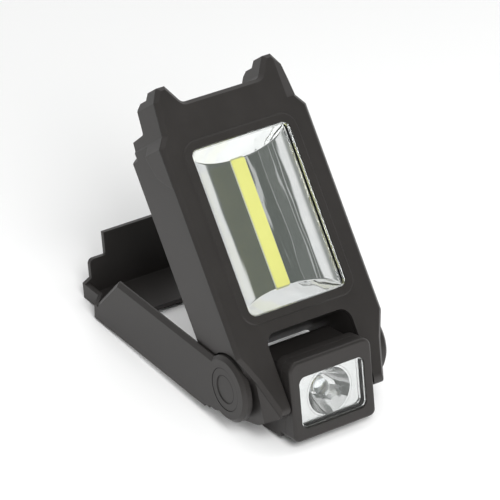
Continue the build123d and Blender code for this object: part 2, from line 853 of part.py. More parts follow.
# --------------------------------------------------------------------- screws
def screw(point, seat, head_radius, head_thick, reach):
    """Pan-head screw from behind: its head sits against the seat depth, reach in front of it."""
    with BuildPart() as item:
        with BuildSketch(case.offset(seat)):
            with Locations(point):
                Circle(head_radius)
        extrude(amount=-head_thick)
        with BuildSketch(case.offset(seat - head_thick)):
            with Locations(point):
                RegularPolygon(head_radius * 0.5, 6)
        extrude(amount=head_thick * 0.6, mode=Mode.SUBTRACT)
        with BuildSketch(case.offset(seat)):
            with Locations(point):
                RegularPolygon(screw_radius, shank_sides)
        extrude(amount=reach)
    return item


case_seat = -back_depth + screw_sink + screw_head_thick
for number, point in enumerate(screw_points(), 1):
    save(screw(point, case_seat, screw_head_radius, screw_head_thick, parting_depth - case_seat),
         f"case_screw_{number}")
save(screw((0, door_screw_height), -back_depth + door_thick - door_screw_web, door_screw_head,
           door_screw_thick, door_screw_grip + door_screw_web), "door_screw")

# ------------------------------------------------------------------ hinge pins
cap_seat = half - disc_thick + disc_web
for side, name in ((1, "hinge_pin_right"), (-1, "hinge_pin_left")):
    with BuildPart() as pin:
        with BuildSketch(across(case, side * (gap_half - pin_reach))):
            Circle(pin_radius)
        extrude(amount=-side * (cap_seat + pin_lift - gap_half + pin_reach))
        with BuildSketch(across(case, side * (cap_seat + pin_lift))):
            Circle(pin_head_radius)
        extrude(amount=-side * pin_head_thick)
    save(pin, name)


# ----------------------------------------------------------------------- stand
def arm_face():
    """Side of a stand arm: stepped heel, straight base, slanted end and crest."""
    with BuildSketch() as face:
        with BuildLine():
            Polyline(
                (0, 0), (-disc_radius + disc_chamfer + 1.6, 0), (-base_depth + 2 * heel_step, 6.5),
                (-base_depth + 2 * heel_step, heel_length - 3), (-base_depth + heel_step, heel_length - 3),
                (-base_depth + heel_step, heel_length), (-base_depth, heel_length),
                (-base_depth, arm_low_length), (-arm_end_depth, arm_low_length),
                (arm_crest, arm_top_length), (arm_crest, 0), close=True,
            )
        make_face()
    return face.sketch


def base_outline(inset, near):
    """Outline of the stand's base seen from above, like the case's upper end."""
    with BuildSketch() as face:
        with BuildLine():
            Polyline(
                (0, near), (half - inset, near), (half - inset, arm_low_length),
                (base_edge_half - inset, arm_low_length + lip_inset),
                (base_edge_half - inset, end_length), (0, end_length),
            )
            mirror(about=Plane.YZ)
        make_face()
    return face.sketch


with BuildPart() as stand_frame:
    for side in (1, -1):
        with BuildSketch(across(stand, side * half)):
            add(arm_face())
        extrude(amount=side * arm_thick)
    # bevel the crest and the slanted end on the outside
    bevelled = []
    for edge in stand_frame.edges():
        spot = stand.to_local_coords(edge.center())
        outside = abs(abs(spot.X) - half) < 0.01
        if outside and spot.Z > -arm_end_depth + 0.1 and spot.Y > 1:
            bevelled.append(edge)
    chamfer(bevelled, arm_chamfer)
    # base with its low rim
    with BuildSketch(stand.offset(-base_depth)):
        add(base_outline(0, plate_near))
    extrude(amount=plate_thick)
    with BuildSketch(stand.offset(-base_depth)):
        add(base_outline(0, arm_low_length - 2))
        add(base_outline(arm_thick, arm_low_length - 3), mode=Mode.SUBTRACT)
    extrude(amount=base_depth - lip_depth)
    # leaning end wall: full width, then a step in, then the tab between the horns
    with BuildSketch(end_plane):
        with BuildLine():
            Polyline(
                (0, 0), (base_edge_half, 0), (base_edge_half, end_lip), (half - step_inset, end_lip + 1.5),
                (half - step_inset, end_step), (tab_half, end_step), (tab_half, end_tab), (0, end_tab),
            )
            mirror(about=Plane.YZ)
        end_face = make_face()
        fillet([v for v in end_face.vertices()
                if abs(abs(v.X) - (half - step_inset)) < 0.01 and abs(v.Y - end_step) < 0.01], step_round)
        fillet([v for v in end_face.vertices()
                if abs(abs(v.X) - tab_half) < 0.01 and abs(v.Y - end_tab) < 0.01], 0.8)
    extrude(amount=end_thick)
    # round bosses at the hinge
    for side in (1, -1):
        with BuildSketch(across(stand, side * (half - disc_thick))):
            Circle(disc_radius)
        extrude(amount=-side * (disc_thick - disc_chamfer))
        with BuildSketch(across(stand, side * (half - disc_chamfer))):
            Circle(disc_radius)
        extrude(amount=-side * disc_chamfer, taper=45)
    # seats of the magnets in the base
    with BuildSketch(stand.offset(-base_depth)):
        with Locations((-magnet_half, magnet_length), (magnet_half, magnet_length)):
            Circle(magnet_radius + magnet_fit)
    extrude(amount=magnet_thick, mode=Mode.SUBTRACT)
    # pin bores and the seats of the caps
    for side in (1, -1):
        with BuildSketch(across(stand, side * half)):
            Circle(cap_radius + cap_fit)
        extrude(amount=side * (disc_thick - disc_web), mode=Mode.SUBTRACT)
        with BuildSketch(across(stand, side * half)):
            Circle(pin_radius + pin_fit)
        extrude(amount=side * disc_thick, mode=Mode.SUBTRACT)
save(stand_frame, "stand_frame")

for side, name in ((1, "magnet_right"), (-1, "magnet_left")):
    with BuildPart() as magnet:
        with BuildSketch(stand.offset(-base_depth + magnet_sink)):
            with Locations((side * magnet_half, magnet_length)):
                Circle(magnet_radius)
        extrude(amount=magnet_thick - magnet_sink)
    save(magnet, name)

for side, name in ((1, "hinge_cap_right"), (-1, "hinge_cap_left")):
    with BuildPart() as cap:
        with BuildSketch(across(stand, side * cap_seat)):
            Circle(cap_radius)
        extrude(amount=-side * (half - cap_seat - cap_sink))
        with BuildSketch(across(stand, side * cap_seat)):
            Circle(pin_head_radius + pin_head_room)
        extrude(amount=-side * (pin_head_thick + 2 * pin_lift), mode=Mode.SUBTRACT)
        with BuildSketch(across(stand, side * (half - cap_sink))):
            Circle(cap_ring_radius)
        extrude(amount=side * cap_step, mode=Mode.SUBTRACT)
    save(cap, name)


# ------------------------------------------------------------------- spot lamp
def lamp_block():
    """Square body of the lamp, its top falling a little to the back."""
    with BuildPart() as block:
        with BuildSketch(across(lamp, lamp_half)):
            with BuildLine():
                Polyline((lamp_block_back, lamp_top - lamp_top_fall), (lamp_face, lamp_top),
                         (lamp_face, -lamp_drop), (lamp_block_back, -lamp_drop), close=True)
            make_face()
        extrude(amount=lamp_width)
        upper, lower = [], []
        for edge in block.edges():
            spot = lamp.to_local_coords(edge.center())
            if abs(abs(spot.X) - lamp_half) < 0.01 and lamp_block_back + 1 < spot.Z < lamp_face - 1:
                (upper if spot.Y > 0 else lower).append(edge)
        fillet(upper, lamp_round)
        fillet(lower, lamp_low_round)
    return block.part


with BuildPart() as lamp_frame:
    add(lamp_block())
    split(bisect_by=lamp.offset(lamp_split), keep=Keep.TOP)
    lamp_rim = lamp_frame.faces().sort_by(Axis(lamp.origin, lamp.z_dir))[-1].outer_wire()
    chamfer(lamp_rim.edges(), lamp_edge)
    with BuildSketch(lamp.offset(lamp_split)):
        with Locations((0, lamp_window_middle)):
            Rectangle(lamp_window_width + 2 * (lamp_window_fit + lamp_ledge),
                      lamp_window_height + 2 * (lamp_window_fit + lamp_ledge))
    extrude(amount=lamp_face - lamp_split - lamp_lip, mode=Mode.SUBTRACT)
    with BuildSketch(lamp.offset(lamp_face - lamp_lip)):
        with Locations((0, lamp_window_middle)):
            RectangleRounded(lamp_window_width + 2 * lamp_window_fit,
                             lamp_window_height + 2 * lamp_window_fit, lamp_window_round)
    extrude(amount=lamp_lip, mode=Mode.SUBTRACT)
save(lamp_frame, "lamp_frame")

def neck_side():
    """Side of the lamp's neck, which narrows back to a barrel round the hinge axis."""
    with BuildSketch() as face:
        with BuildLine():
            touch = (lamp_barrel * cos(heel_turn), lamp_barrel * sin(heel_turn))
            Polyline((0, lamp_barrel), (lamp_block_back, lamp_barrel), (lamp_block_back, -lamp_drop),
                     (lamp_heel_depth, -lamp_drop), touch)
            ThreePointArc(touch, (-lamp_barrel, 0), (0, lamp_barrel))
        make_face()
        fillet(face.vertices().sort_by_distance(Vector(lamp_heel_depth, -lamp_drop))[0],
               lamp_heel_round)
    return face.sketch


with BuildPart() as lamp_housing:
    with BuildSketch(across(lamp, lamp_half)):
        add(neck_side())
    extrude(amount=lamp_width)
    side_edges = []
    for edge in lamp_housing.edges():
        spot = lamp.to_local_coords(edge.center())
        if abs(abs(spot.X) - lamp_half) < 0.01 and spot.Z < lamp_block_back - 0.5:
            side_edges.append(edge)
    chamfer(side_edges, lamp_barrel_bevel)
    # below the barrel the corners stay square
    with BuildSketch(across(lamp, lamp_half)):
        add(neck_side())
        with Locations((0, -lamp_barrel - lamp_drop)):
            Rectangle(4 * lamp_block_back, 2 * lamp_drop, mode=Mode.INTERSECT)
    extrude(amount=lamp_width)
    # square body behind the front frame
    add(lamp_block())
    split(bisect_by=lamp.offset(lamp_split), keep=Keep.BOTTOM)
    # room for the optic and its board
    with BuildSketch(lamp.offset(lamp_board_seat)):
        with Locations((0, lamp_window_middle)):
            Rectangle(2 * lamp_cavity_half, 2 * lamp_cavity_reach)
    extrude(amount=lamp_split - lamp_board_seat, mode=Mode.SUBTRACT)
    # blind bores on the hinge pins
    for side in (1, -1):
        with BuildSketch(across(lamp, side * lamp_half)):
            Circle(pin_radius + pin_fit)
        extrude(amount=side * (pin_reach - lamp_side_clear + pin_end_room), mode=Mode.SUBTRACT)
save(lamp_housing, "lamp_housing")

with BuildPart() as lamp_lens:
    with BuildSketch(lamp.offset(lamp_face - lamp_lip)):
        with Locations((0, lamp_window_middle)):
            RectangleRounded(lamp_window_width, lamp_window_height, lamp_window_round - 0.1)
    extrude(amount=lamp_lip - lamp_lens_sink)
    lens_edge = lamp_lens.faces().sort_by(Axis(lamp.origin, lamp.z_dir))[-1].outer_wire()
    chamfer(lens_edge.edges(), lamp_lens_bevel)
    with BuildSketch(lamp.offset(lamp_face - lamp_lip)):
        with Locations((0, lamp_window_middle)):
            Rectangle(lamp_window_width + 2 * lamp_ledge, lamp_window_height + 2 * lamp_ledge)
    extrude(amount=-lamp_lens_thick)
save(lamp_lens, "lamp_lens")

with BuildPart() as lamp_plate:
    with BuildSketch(lamp.offset(lamp_split)):
        with Locations((0, lamp_window_middle)):
            Rectangle(lamp_window_width + 2 * lamp_ledge, lamp_window_height + 2 * lamp_ledge)
            Circle(optic_radius + optic_fit, mode=Mode.SUBTRACT)
    extrude(amount=optic_front - lamp_split)
save(lamp_plate, "lamp_plate")


with BuildPart() as lamp_optic:
    with BuildSketch(lamp.offset(optic_front)):
        with Locations((0, lamp_window_middle)):
            Circle(optic_radius)
    extrude(amount=-optic_rim)
    for shrink, mode in ((0, Mode.ADD), (optic_wall, Mode.SUBTRACT)):
        with BuildSketch(lamp.offset(optic_front)):
            with Locations((0, lamp_window_middle)):
                RegularPolygon(optic_radius - optic_wall - shrink, optic_sides)
        with BuildSketch(lamp.offset(optic_front - optic_depth)):
            with Locations((0, lamp_window_middle)):
                RegularPolygon(optic_base_radius - shrink, optic_sides)
        loft(ruled=True, mode=mode)
save(lamp_optic, "lamp_optic")

with BuildPart() as lamp_chip:
    with BuildSketch(lamp.offset(lamp_board_seat + lamp_board_thick)):
        with Locations((0, lamp_window_middle)):
            Rectangle(chip_size, chip_size)
    extrude(amount=chip_thick)
save(lamp_chip, "lamp_chip")

with BuildPart() as lamp_board:
    with BuildSketch(lamp.offset(lamp_board_seat)):
        with Locations((0, lamp_window_middle)):
            Rectangle(lamp_board_size, lamp_board_size)
    extrude(amount=lamp_board_thick)
save(lamp_board, "lamp_board")
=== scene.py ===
import json
from math import cos, pi, radians, sin

import bmesh
import bpy
from mathutils import Matrix, Vector

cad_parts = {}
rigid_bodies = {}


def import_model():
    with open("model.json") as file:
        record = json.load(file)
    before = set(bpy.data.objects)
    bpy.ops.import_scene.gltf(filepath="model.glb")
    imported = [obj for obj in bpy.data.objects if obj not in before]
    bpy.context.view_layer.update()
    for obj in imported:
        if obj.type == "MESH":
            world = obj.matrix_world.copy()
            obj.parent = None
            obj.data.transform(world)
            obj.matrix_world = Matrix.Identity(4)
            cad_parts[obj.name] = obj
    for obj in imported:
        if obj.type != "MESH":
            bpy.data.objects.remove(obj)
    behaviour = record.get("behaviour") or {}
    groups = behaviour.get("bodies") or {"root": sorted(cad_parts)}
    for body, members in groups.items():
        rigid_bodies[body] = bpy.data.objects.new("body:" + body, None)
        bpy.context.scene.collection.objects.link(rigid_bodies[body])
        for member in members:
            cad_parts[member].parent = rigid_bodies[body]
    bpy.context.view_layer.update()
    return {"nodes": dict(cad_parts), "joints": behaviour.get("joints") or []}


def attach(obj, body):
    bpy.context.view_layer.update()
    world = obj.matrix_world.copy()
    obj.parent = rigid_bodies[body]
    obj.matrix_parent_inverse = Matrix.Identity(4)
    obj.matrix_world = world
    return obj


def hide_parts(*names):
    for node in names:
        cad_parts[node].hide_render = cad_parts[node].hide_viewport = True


for leftover in list(bpy.data.objects):
    bpy.data.objects.remove(leftover)

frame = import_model()
nodes = frame["nodes"]
joints = {joint["name"]: joint for joint in frame["joints"]}
print("frame loaded:", len(nodes), "nodes")

mm = 0.001

# where the case and the spot lamp point, read from the joints
hinge = Vector(joints["stand_hinge"]["pos_m"])
across = Vector((1, 0, 0))
caseFront = Vector(joints["button_press"]["axis"]).normalized()
caseUp = caseFront.cross(across)
lampTurn = -radians(joints["lamp_tilt"]["range_deg"][0])


def pieceFrame(turn):  # X across, Y up the piece, Z out of its front, origin on the hinge axis
    spin = Matrix.Rotation(turn, 3, "X")
    place = Matrix((across, spin @ caseUp, spin @ caseFront)).transposed().to_4x4()
    place.translation = hinge
    return place


caseFrame = pieceFrame(0)
lampFrame = pieceFrame(lampTurn)


def localBox(node, place):  # lowest and highest corner of a node in a piece's own frame
    back = place.inverted()
    points = [back @ v.co for v in nodes[node].data.vertices]
    low = Vector([min(p[i] for p in points) for i in range(3)])
    high = Vector([max(p[i] for p in points) for i in range(3)])
    return low, high


def clearSelection():
    if bpy.context.object and bpy.context.object.mode != "OBJECT":
        bpy.ops.object.mode_set(mode="OBJECT")
    bpy.ops.object.select_all(action="DESELECT")


def activate(piece):
    clearSelection()
    piece.select_set(True)
    bpy.context.view_layer.objects.active = piece


def begun(name):  # names the primitive just added and puts its size and place in its mesh
    piece = bpy.context.object
    piece.name = piece.data.name = name
    bpy.ops.object.transform_apply(location=True, rotation=True, scale=True)
    return piece


def block(name, low, high):
    clearSelection()
    low, high = Vector(low), Vector(high)
    bpy.ops.mesh.primitive_cube_add(size=1, location=(low + high) / 2, scale=high - low)
    return begun(name)


def disc(name, centre, radius, depth, sides=48):  # a cylinder on end, its middle at centre
    clearSelection()
    bpy.ops.mesh.primitive_cylinder_add(vertices=sides, radius=radius, depth=depth, location=centre)
    return begun(name)


def edit(piece):
    activate(piece)
    bpy.ops.object.mode_set(mode="EDIT")
    bpy.ops.mesh.select_mode(type="FACE")


def pick(piece, test, kind="faces"):  # selects what passes the test
    if piece.mode != "EDIT":
        edit(piece)
    bpy.ops.mesh.select_mode(type={"faces": "FACE", "edges": "EDGE", "verts": "VERT"}[kind])
    mesh = bmesh.from_edit_mesh(piece.data)
    mesh.normal_update()
    for group in (mesh.faces, mesh.edges, mesh.verts):
        for item in group:
            item.select = False
    for item in getattr(mesh, kind):
        if test(item):
            item.select_set(True)
    mesh.select_flush_mode()
    bmesh.update_edit_mesh(piece.data)


def roundEdges(piece, test, width, segments):
    pick(piece, test, "edges")
    bpy.ops.mesh.bevel(offset=width, segments=segments, affect="EDGES", clamp_overlap=True)
    bpy.ops.object.mode_set(mode="OBJECT")


def upright(edge):  # runs along the piece's Z
    one, two = (v.co for v in edge.verts)
    return abs(one.z - two.z) > 0.9 * (one - two).length


def atHeight(height, slack=0.01 * mm):
    return lambda item: all(abs(v.co.z - height) < slack for v in item.verts)


def shape(piece, kind, **settings):  # adds a modifier and applies it
    activate(piece)
    modifier = piece.modifiers.new(kind.title(), kind)
    for key, value in settings.items():
        setattr(modifier, key, value)
    bpy.ops.object.modifier_apply(modifier=modifier.name)


def carve(piece, cutter):
    shape(piece, "BOOLEAN", operation="DIFFERENCE", solver="EXACT", object=cutter)
    bpy.data.objects.remove(cutter)


def settle(piece, place, material, body, replaced=None, angle=30):
    activate(piece)
    piece.data.transform(place)
    bpy.ops.object.shade_smooth_by_angle(angle=radians(angle))
    shape(piece, "WEIGHTED_NORMAL", keep_sharp=True)
    if material:
        dress(piece, material)
    if replaced:
        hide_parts(replaced)
    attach(piece, body)
    return piece


def dress(piece, material):
    piece.data.materials.clear()
    piece.data.materials.append(material)


class Link:  # a socket in a sum
    def __init__(self, finish, socket):
        self.finish, self.socket = finish, socket

    def math(self, operation, *values):
        return self.finish.node("ShaderNodeMath", {"operation": operation}, dict(enumerate(values)))

    def __add__(self, other):
        return self.math("ADD", self, other)

    def __radd__(self, other):
        return self.math("ADD", other, self)

    def __sub__(self, other):
        return self.math("SUBTRACT", self, other)

    def __rsub__(self, other):
        return self.math("SUBTRACT", other, self)

    def __mul__(self, other):
        return self.math("MULTIPLY", self, other)

    def __rmul__(self, other):
        return self.math("MULTIPLY", other, self)

    def __gt__(self, other):
        return self.math("GREATER_THAN", self, other)

    def size(self):
        return self.math("ABSOLUTE", self)

    def clamped(self):
        return self.math("MAXIMUM", self.math("MINIMUM", self, 1.0), 0.0)

    def eased(self, start, end):  # 0 before start, 1 after end
        return self.finish.node("ShaderNodeMapRange", {"interpolation_type": "SMOOTHSTEP"},
                                {"Value": self, "From Min": start, "From Max": end})


class Finish:  # builds one material, or the world
    def __init__(self, name=None, tree=None):
        if tree is None:
            self.material = bpy.data.materials.new(name)
            self.material.use_nodes = True
            tree = self.material.node_tree
            tree.nodes.clear()
            self.output = tree.nodes.new("ShaderNodeOutputMaterial")
        self.tree = tree

    def node(self, kind, settings=None, values=None, output=0):
        made = self.tree.nodes.new(kind)
        for key, value in (settings or {}).items():
            setattr(made, key, value)
        for key, value in (values or {}).items():
            socket = made.inputs[key]
            if isinstance(value, Link):
                self.tree.links.new(value.socket, socket)
            elif value is not None:
                if isinstance(value, tuple) and len(socket.default_value) == 4:
                    value = (*value[:3], 1)
                socket.default_value = value
        return Link(self, made.outputs[output])

    def place(self):
        return self.node("ShaderNodeTexCoord", output="Object")

    def mapped(self, place, scale=(1, 1, 1), turn=(0, 0, 0), centre=(0, 0, 0)):
        return self.node("ShaderNodeMapping", {"vector_type": "TEXTURE"}, {
            "Vector": place, "Location": tuple(centre), "Rotation": tuple(turn),
            "Scale": tuple(1 / value for value in scale)})

    def noise(self, place, scale, detail=3.0, roughness=0.55):
        return self.node("ShaderNodeTexNoise", {}, {
            "Vector": place, "Scale": scale, "Detail": detail, "Roughness": roughness}, "Fac")

    def along(self, place, direction, start):  # distance along a direction from a point
        reach = self.node("ShaderNodeVectorMath", {"operation": "DOT_PRODUCT"},
                          {0: place, 1: tuple(direction)}, "Value")
        return reach - Vector(direction).dot(Vector(start))

    def blend(self, factor, first, second):
        return self.node("ShaderNodeMix", {"data_type": "RGBA"}, {0: factor, 6: first, 7: second}, 2)

    def bump(self, height, strength, distance, normal=None):
        return self.node("ShaderNodeBump", {}, {
            "Height": height, "Strength": strength, "Distance": distance, "Normal": normal})

    def softEdges(self, radius):
        return self.node("ShaderNodeBevel", {"samples": 4}, {"Radius": radius})

    def surface(self, shader):
        self.tree.links.new(shader.socket, self.output.inputs["Surface"])
        return self.material

    def principled(self, values):
        return self.surface(self.node("ShaderNodeBsdfPrincipled", {}, values))


plastic = {
    "colour": (0.0150, 0.0136, 0.0129),
    "worn": (0.0300, 0.0276, 0.0262),
    "shine": (1.0, 0.965, 0.95),
    "roughness": 0.43,
    "grain": 5200.0,             # grain of the mould, per metre
    "grainDepth": 0.012 * mm,
    "edge": 0.40 * mm,           # how softly its edges catch the light
    "seam": 0.13 * mm,
    # painted shade: this near-black colour in the parting line and the cap rings stands in for shade in
    # those gaps
    "paintedGapShade": (0.002, 0.002, 0.002),
    "partingDepth": 15.0 * mm,
    "ringDepth": 1.2 * mm,       # rings show this far in from the caps' faces
    "innerRing": 0.66,           # share of the cap's radius
}

capLow, capHigh = localBox("hinge_cap_right", caseFrame)
capReach = max(abs(capLow.x), abs(capHigh.x))
capRadius = (capHigh.y - capLow.y) / 2


def mouldedPlastic(name, shade=1.0, roughness=0.0, seam=False, rings=()):
    finish = Finish(name)
    place = finish.place()
    cloud = finish.noise(place, 34.0, 4.0, 0.6)
    smear = finish.noise(finish.mapped(place, (1.0, 0.35, 0.6)), 150.0, 5.0, 0.65)
    grain = finish.noise(place, plastic["grain"], 1.0, 0.5)
    wear = (cloud * 0.8 + smear * 0.5 - 0.2).clamped()
    colour = finish.blend(wear, tuple(c * shade for c in plastic["colour"]),
                          tuple(c * shade for c in plastic["worn"]))
    rough = plastic["roughness"] + roughness - 0.07 + cloud * 0.07 + smear * 0.08
    height = grain
    if seam:
        # the parting line is a bump groove, and its dark colour is painted shade in the gap between cover
        # and shell
        depth = finish.along(place, caseFront, hinge + caseFront * plastic["partingDepth"])
        paintedGapLine = 1 - depth.size().eased(plastic["seam"] * 0.4, plastic["seam"] * 1.6)
        colour = finish.blend(paintedGapLine * 0.85, colour, plastic["paintedGapShade"])
        rough = rough + paintedGapLine * 0.3
        height = grain - paintedGapLine * 6.0
    for radius in rings:  # dark lines round the hinge axis, on the outer faces only: painted shade in the gaps round the caps
        spot = finish.node("ShaderNodeVectorMath", {"operation": "SUBTRACT"}, {0: place, 1: tuple(hinge)})
        flat = finish.node("ShaderNodeVectorMath", {"operation": "MULTIPLY"}, {0: spot, 1: (0.0, 1.0, 1.0)})
        away = finish.node("ShaderNodeVectorMath", {"operation": "LENGTH"}, {0: flat}, "Value")
        outer = finish.along(place, across, (0, 0, 0)).size() > capReach - plastic["ringDepth"]
        paintedGapLine = (1 - (away - radius).size().eased(plastic["seam"] * 0.5, plastic["seam"] * 1.4)) * outer
        colour = finish.blend(paintedGapLine * 0.9, colour, plastic["paintedGapShade"])
        rough = rough + paintedGapLine * 0.3
    normal = finish.bump(height, 0.3, plastic["grainDepth"], finish.softEdges(plastic["edge"]))
    return finish.principled({"Base Color": colour, "Roughness": rough, "Normal": normal, "IOR": 1.46,
                              "Specular Tint": plastic["shine"]})


def chromedPlastic(name, roughness, swell, stretch=(1.0, 1.0, 1.0), shade=1.0):
    finish = Finish(name)
    place = finish.mapped(finish.place(), turn=caseFrame.to_euler(), centre=hinge)
    wave = finish.noise(finish.mapped(place, stretch), 150.0, 1.5, 0.45)
    haze = finish.noise(place, 130.0, 3.0, 0.6)
    dust = finish.noise(place, 2300.0, 2.0, 0.5)
    colour = finish.blend(haze, tuple(shade * c for c in (0.83, 0.84, 0.845)),
                          tuple(shade * c for c in (0.95, 0.945, 0.93)))
    rough = roughness + haze * 0.04 + dust.eased(0.66, 0.74) * 0.1
    normal = finish.bump(wave, swell, 0.5 * mm)
    return finish.principled({"Base Color": colour, "Metallic": 1.0, "Roughness": rough, "Normal": normal})


def clearPlastic(name, tint, gloss):
    finish = Finish(name)
    smear = finish.noise(finish.place(), 110.0, 4.0, 0.6)
    clear = finish.node("ShaderNodeBsdfTransparent", {}, {"Color": tint})
    sheen = finish.node("ShaderNodeBsdfGlossy", {}, {
        "Color": (1.0, 1.0, 1.0), "Roughness": gloss + smear * 0.04})
    edge = finish.node("ShaderNodeLayerWeight", {}, {"Blend": 0.5}, "Facing")
    edge = edge * edge
    mirrored = edge * edge * 0.4 + 0.035  # more where the pane is seen along its face
    return finish.surface(finish.node("ShaderNodeMixShader", {}, {0: mirrored, 1: clear, 2: sheen}))


def solidClear(name, tint, roughness):  # edges of clear pieces, which bend what lies behind them
    finish = Finish(name)
    smear = finish.noise(finish.place(), 300.0, 3.0, 0.6)
    return finish.principled({
        "Base Color": finish.blend(smear, tint, (0.97, 0.97, 0.96)), "Roughness": roughness + smear * 0.05,
        "Transmission Weight": 1.0, "IOR": 1.49})


def phosphor(name, pale, deep, paintedGlow):
    finish = Finish(name)
    place = finish.place()
    speck = finish.noise(place, 2200.0, 2.0, 0.6)
    cloud = finish.noise(place, 240.0, 2.0, 0.5)
    # the emission is a painted glow: it makes the unlit phosphor brighter than its colour alone
    colour = finish.blend((speck * 0.5 + cloud * 0.5).clamped(), deep, pale)
    return finish.principled({
        "Base Color": colour, "Roughness": 0.38 + cloud * 0.1, "Normal": finish.bump(speck, 0.2, 0.03 * mm),
        "Emission Color": colour, "Emission Strength": paintedGlow})


def platedSteel(name, colour, roughness):
    finish = Finish(name)
    place = finish.place()
    brush = finish.noise(finish.mapped(place, (1.0, 12.0, 12.0)), 400.0, 3.0, 0.6)
    spot = finish.noise(place, 900.0, 3.0, 0.6)
    tone = finish.blend(spot, tuple(c * 0.78 for c in colour), colour)
    normal = finish.bump(brush, 0.2, 0.02 * mm, finish.softEdges(0.15 * mm))
    return finish.principled({"Base Color": tone, "Metallic": 1.0, "Normal": normal,
                              "Roughness": (roughness + brush * 0.18 - 0.06).clamped()})


def circuitBoard(name):
    finish = Finish(name)
    place = finish.place()
    trace = finish.node("ShaderNodeTexBrick", {"offset": 0.5}, {
        "Vector": place, "Scale": 260.0, "Mortar Size": 0.03}, "Fac")
    cloud = finish.noise(place, 300.0, 2.0, 0.5)
    colour = finish.blend(trace, (0.80, 0.80, 0.76), (0.70, 0.66, 0.52))
    return finish.principled({"Base Color": colour, "Roughness": 0.3 + cloud * 0.15,
                              "Normal": finish.bump(trace, 0.3, 0.03 * mm)})


def softRubber(name):
    finish = Finish(name)
    place = finish.place()
    cloud = finish.noise(place, 200.0, 3.0, 0.6)
    grain = finish.noise(place, 6000.0, 2.0, 0.5)
    colour = finish.blend(cloud, (0.014, 0.014, 0.014), (0.030, 0.029, 0.028))
    return finish.principled({"Base Color": colour, "Roughness": 0.6 + cloud * 0.15,
                              "Normal": finish.bump(grain, 0.3, 0.02 * mm)})


cells = {"bandHeight": 50 * mm}  # above the hinge, where the sleeve's second colour starts


def cellWrap(name):
    finish = Finish(name)
    place = finish.place()
    cloud = finish.noise(place, 150.0, 3.0, 0.6)
    band = finish.along(place, caseUp, hinge + caseUp * cells["bandHeight"]).eased(-0.2 * mm, 0.2 * mm)
    colour = finish.blend(band, (0.06, 0.07, 0.09), (0.50, 0.30, 0.12))
    return finish.principled({"Base Color": finish.blend(cloud * 0.3, colour, (0.3, 0.3, 0.3)),
                              "Metallic": 0.5, "Roughness": 0.28 + cloud * 0.1})


caseBlack = mouldedPlastic("caseBlack", seam=True)
standBlack = mouldedPlastic("standBlack", shade=0.9, roughness=0.03,
                            rings=(capRadius, capRadius * plastic["innerRing"]))
lampBlack = mouldedPlastic("lampBlack", shade=0.85, roughness=-0.02)
switchBlack = mouldedPlastic("switchBlack", shade=0.6)
trayChrome = chromedPlastic("trayChrome", 0.02, 0.60, (1.0, 0.2, 1.0))
cupChrome = chromedPlastic("cupChrome", 0.02, 0.45, shade=0.8)
plateChrome = chromedPlastic("plateChrome", 0.10, 0.05, shade=0.78)
windowClear = clearPlastic("windowClear", (0.975, 0.98, 0.98), 0.02)
windowEdge = solidClear("windowEdge", (0.93, 0.95, 0.95), 0.03)
# the strip and the chip carry a faint painted glow, though the lamp is not lit
stripYellow = phosphor("stripYellow", (0.72, 0.71, 0.24), (0.63, 0.62, 0.17), 0.08)
chipYellow = phosphor("chipYellow", (0.60, 0.58, 0.36), (0.48, 0.47, 0.25), 0.02)
damWhite = phosphor("damWhite", (0.66, 0.68, 0.58), (0.52, 0.54, 0.42), 0.0)
domeClear = solidClear("domeClear", (0.80, 0.85, 0.88), 0.12)
screwSteel = platedSteel("screwSteel", (0.40, 0.40, 0.41), 0.32)
contactNickel = platedSteel("contactNickel", (0.72, 0.71, 0.69), 0.25)
magnetNickel = platedSteel("magnetNickel", (0.66, 0.66, 0.67), 0.22)
boardWhite = circuitBoard("boardWhite")
buttonRubber = softRubber("buttonRubber")
cellSleeve = cellWrap("cellSleeve")

dressing = {
    caseBlack: ("front_cover", "rear_shell", "battery_door"),
    standBlack: ("stand_frame", "hinge_cap_right", "hinge_cap_left"),
    lampBlack: ("lamp_frame", "lamp_housing"),
    trayChrome: ("area_reflector",),
    cupChrome: ("lamp_optic",),
    plateChrome: ("lamp_plate",),
    windowClear: ("area_lens", "lamp_lens"),
    stripYellow: ("led_strip",),
    chipYellow: ("lamp_chip",),
    boardWhite: ("led_board", "driver_board", "lamp_board"),
    screwSteel: ("case_screw_1", "case_screw_2", "case_screw_3", "case_screw_4", "door_screw",
                 "hinge_pin_right", "hinge_pin_left"),
    contactNickel: ("contact_low_pair", "contact_low_single", "contact_high_pair", "contact_high_single"),
    magnetNickel: ("magnet_right", "magnet_left"),
    buttonRubber: ("push_button",),
    switchBlack: ("push_switch",),
    cellSleeve: ("cell_left", "cell_middle", "cell_right"),
}
for material, names in dressing.items():
    for name in names:
        dress(nodes[name], material)
print("finishes made:", len(dressing))

tray = {
    "steps": 48,             # along half of its section
    "mouthInset": 1.9 * mm,  # trough's mouth inside the flange, at its sides
    "endInset": 1.8 * mm,    # and at its ends
    "slope": 6.6 * mm,       # how far the end walls lean in
    "floorBelow": 0.5 * mm,  # floor below the strip's face
    "crease": 0.4 * mm,
    "wall": 0.7 * mm,
    "overrun": 1 * mm,       # made longer than the tray before its ends are cut
    "rimBand": 0.3 * mm,     # what lies this near the mouth belongs to it
}


